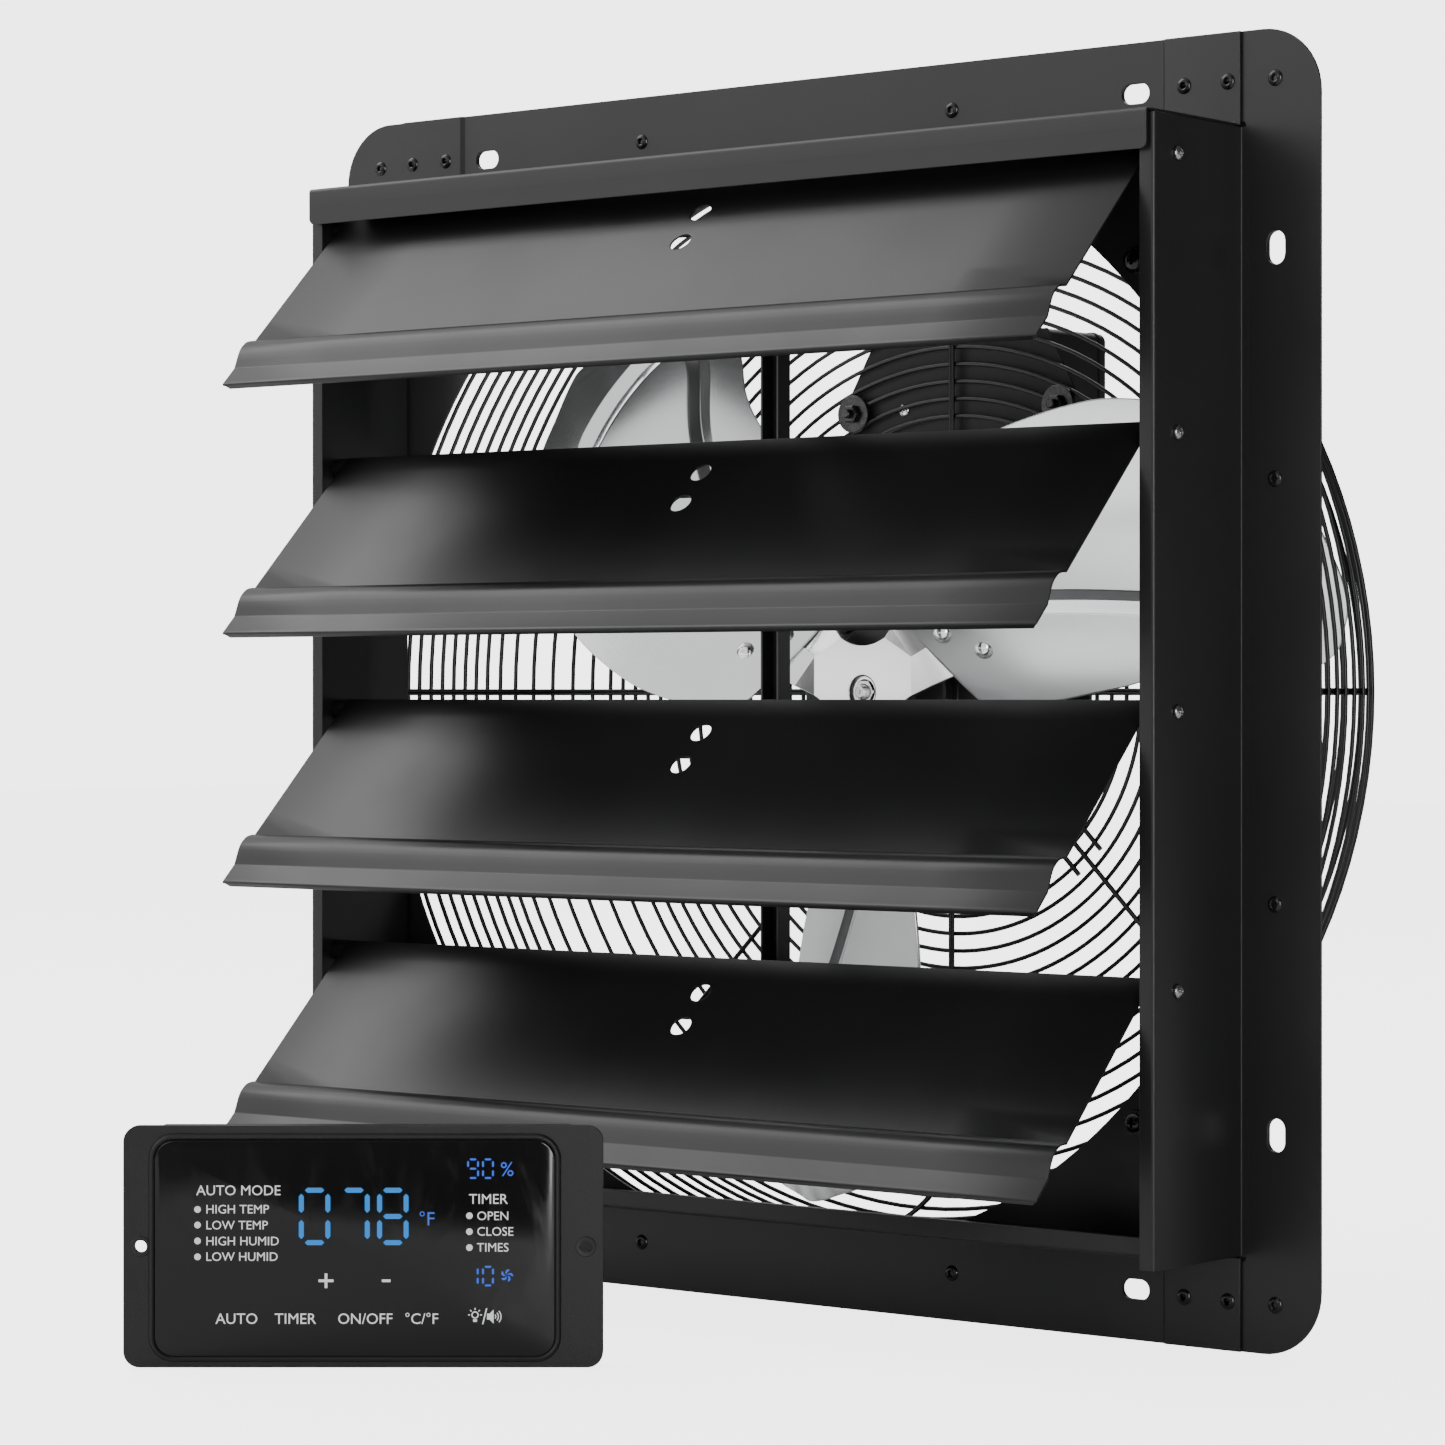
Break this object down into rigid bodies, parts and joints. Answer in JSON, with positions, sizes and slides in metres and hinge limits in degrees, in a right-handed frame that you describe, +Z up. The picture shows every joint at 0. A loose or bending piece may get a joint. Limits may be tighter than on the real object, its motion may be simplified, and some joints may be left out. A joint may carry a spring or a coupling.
{
  "type": "shutter exhaust fan",
  "caption": "Square wall exhaust fan with linked gravity louvers, a paddle wheel on a motor shaft, a rear wire guard and a separate controller.",
  "frame": {"origin": "on the wheel's axis, in the plane of the flange's front face", "axes": "+Y along the axis from the louvers to the motor, +Z up, +X to the right seen from the louvers"},
  "size_m": [0.586, 0.5112, 0.586],
  "materials": {
    "black_sheet": "satin powder coat",
    "black_wire": "satin coated wire",
    "bright_blade": "polished sheet",
    "cast_hub": "polished pressing",
    "zinc_steel": "plated",
    "bush_plastic": "moulded",
    "motor_paint": "satin paint",
    "copper_winding": "enamelled copper",
    "black_plastic": "fine texture",
    "black_glass": "glossy"
  },
  "bodies": {
    "frame": {"back_panel": "black_sheet", "top_panel": "black_sheet", "bottom_panel": "black_sheet", "left_panel": "black_sheet", "right_panel": "black_sheet", "pivot_bush_left_1": "bush_plastic", "pivot_bush_left_2": "bush_plastic", "pivot_bush_left_3": "bush_plastic", "pivot_bush_left_4": "bush_plastic", "pivot_bush_right_1": "bush_plastic", "pivot_bush_right_2": "bush_plastic", "pivot_bush_right_3": "bush_plastic", "pivot_bush_right_4": "bush_plastic", "guard": "black_wire", "guard_bolt_1": "zinc_steel", "guard_bolt_2": "zinc_steel", "guard_bolt_3": "zinc_steel", "guard_bolt_4": "zinc_steel", "motor_mount_bracket": "black_wire", "motor_housing": "motor_paint", "motor_rear_cover": "motor_paint", "stator": "copper_winding", "bearing_front": "zinc_steel", "bearing_rear": "zinc_steel", "junction_box": "black_plastic", "clamp_plate": "black_sheet", "clamp_bolt_left": "zinc_steel", "clamp_bolt_right": "zinc_steel"},
    "wheel": {"shaft": "zinc_steel", "rotor": "zinc_steel", "hub": "cast_hub", "blade_1": "bright_blade", "blade_2": "bright_blade", "blade_3": "bright_blade", "hub_nut": "zinc_steel"},
    "louver_1": {"louver_1": "black_sheet", "link_arm_1": "black_sheet", "pivot_screw_left_1": "zinc_steel", "pivot_screw_right_1": "zinc_steel"},
    "louver_2": {"louver_2": "black_sheet", "link_arm_2": "black_sheet", "pivot_screw_left_2": "zinc_steel", "pivot_screw_right_2": "zinc_steel"},
    "louver_3": {"louver_3": "black_sheet", "link_arm_3": "black_sheet", "pivot_screw_left_3": "zinc_steel", "pivot_screw_right_3": "zinc_steel"},
    "louver_4": {"louver_4": "black_sheet", "link_arm_4": "black_sheet", "pivot_screw_left_4": "zinc_steel", "pivot_screw_right_4": "zinc_steel"},
    "link_bar": {"link_bar": "black_sheet", "link_pin_1": "zinc_steel", "link_pin_2": "zinc_steel", "link_pin_3": "zinc_steel", "link_pin_4": "zinc_steel"},
    "controller": {"controller_housing": "black_plastic", "controller_panel": "black_glass", "controller_back_cover": "black_plastic"}
  },
  "joints": [
    {"name": "wheel_spin", "type": "hinge", "parent": "frame", "child": "wheel", "pos_m": [0, 0, 0], "axis": [0, 1, 0], "continuous": true},
    {"name": "louver_1_pivot", "type": "hinge", "parent": "frame", "child": "louver_1", "pos_m": [0, -0.052, 0.2339], "axis": [1, 0, 0], "range_deg": [0, 42]},
    {"name": "louver_2_pivot", "type": "hinge", "parent": "frame", "child": "louver_2", "pos_m": [0, -0.052, 0.1125], "axis": [1, 0, 0], "range_deg": [0, 42]},
    {"name": "louver_3_pivot", "type": "hinge", "parent": "frame", "child": "louver_3", "pos_m": [0, -0.052, -0.0089], "axis": [1, 0, 0], "range_deg": [0, 42]},
    {"name": "louver_4_pivot", "type": "hinge", "parent": "frame", "child": "louver_4", "pos_m": [0, -0.052, -0.1303], "axis": [1, 0, 0], "range_deg": [0, 42]},
    {"name": "link_bar_pin", "type": "hinge", "parent": "louver_1", "child": "link_bar", "pos_m": [0, -0.01325, 0.2036], "axis": [1, 0, 0], "range_deg": [-42, 0]},
    {"name": "controller_lift", "type": "slide", "parent": "frame", "child": "controller", "axis": [0, 0, 1], "range_m": [0, 0.2]}
  ],
  "couplings": [
    {"joint": "louver_2_pivot", "follows": "louver_1_pivot", "ratio": 1},
    {"joint": "louver_3_pivot", "follows": "louver_1_pivot", "ratio": 1},
    {"joint": "louver_4_pivot", "follows": "louver_1_pivot", "ratio": 1},
    {"joint": "link_bar_pin", "follows": "louver_1_pivot", "ratio": -1}
  ]
}
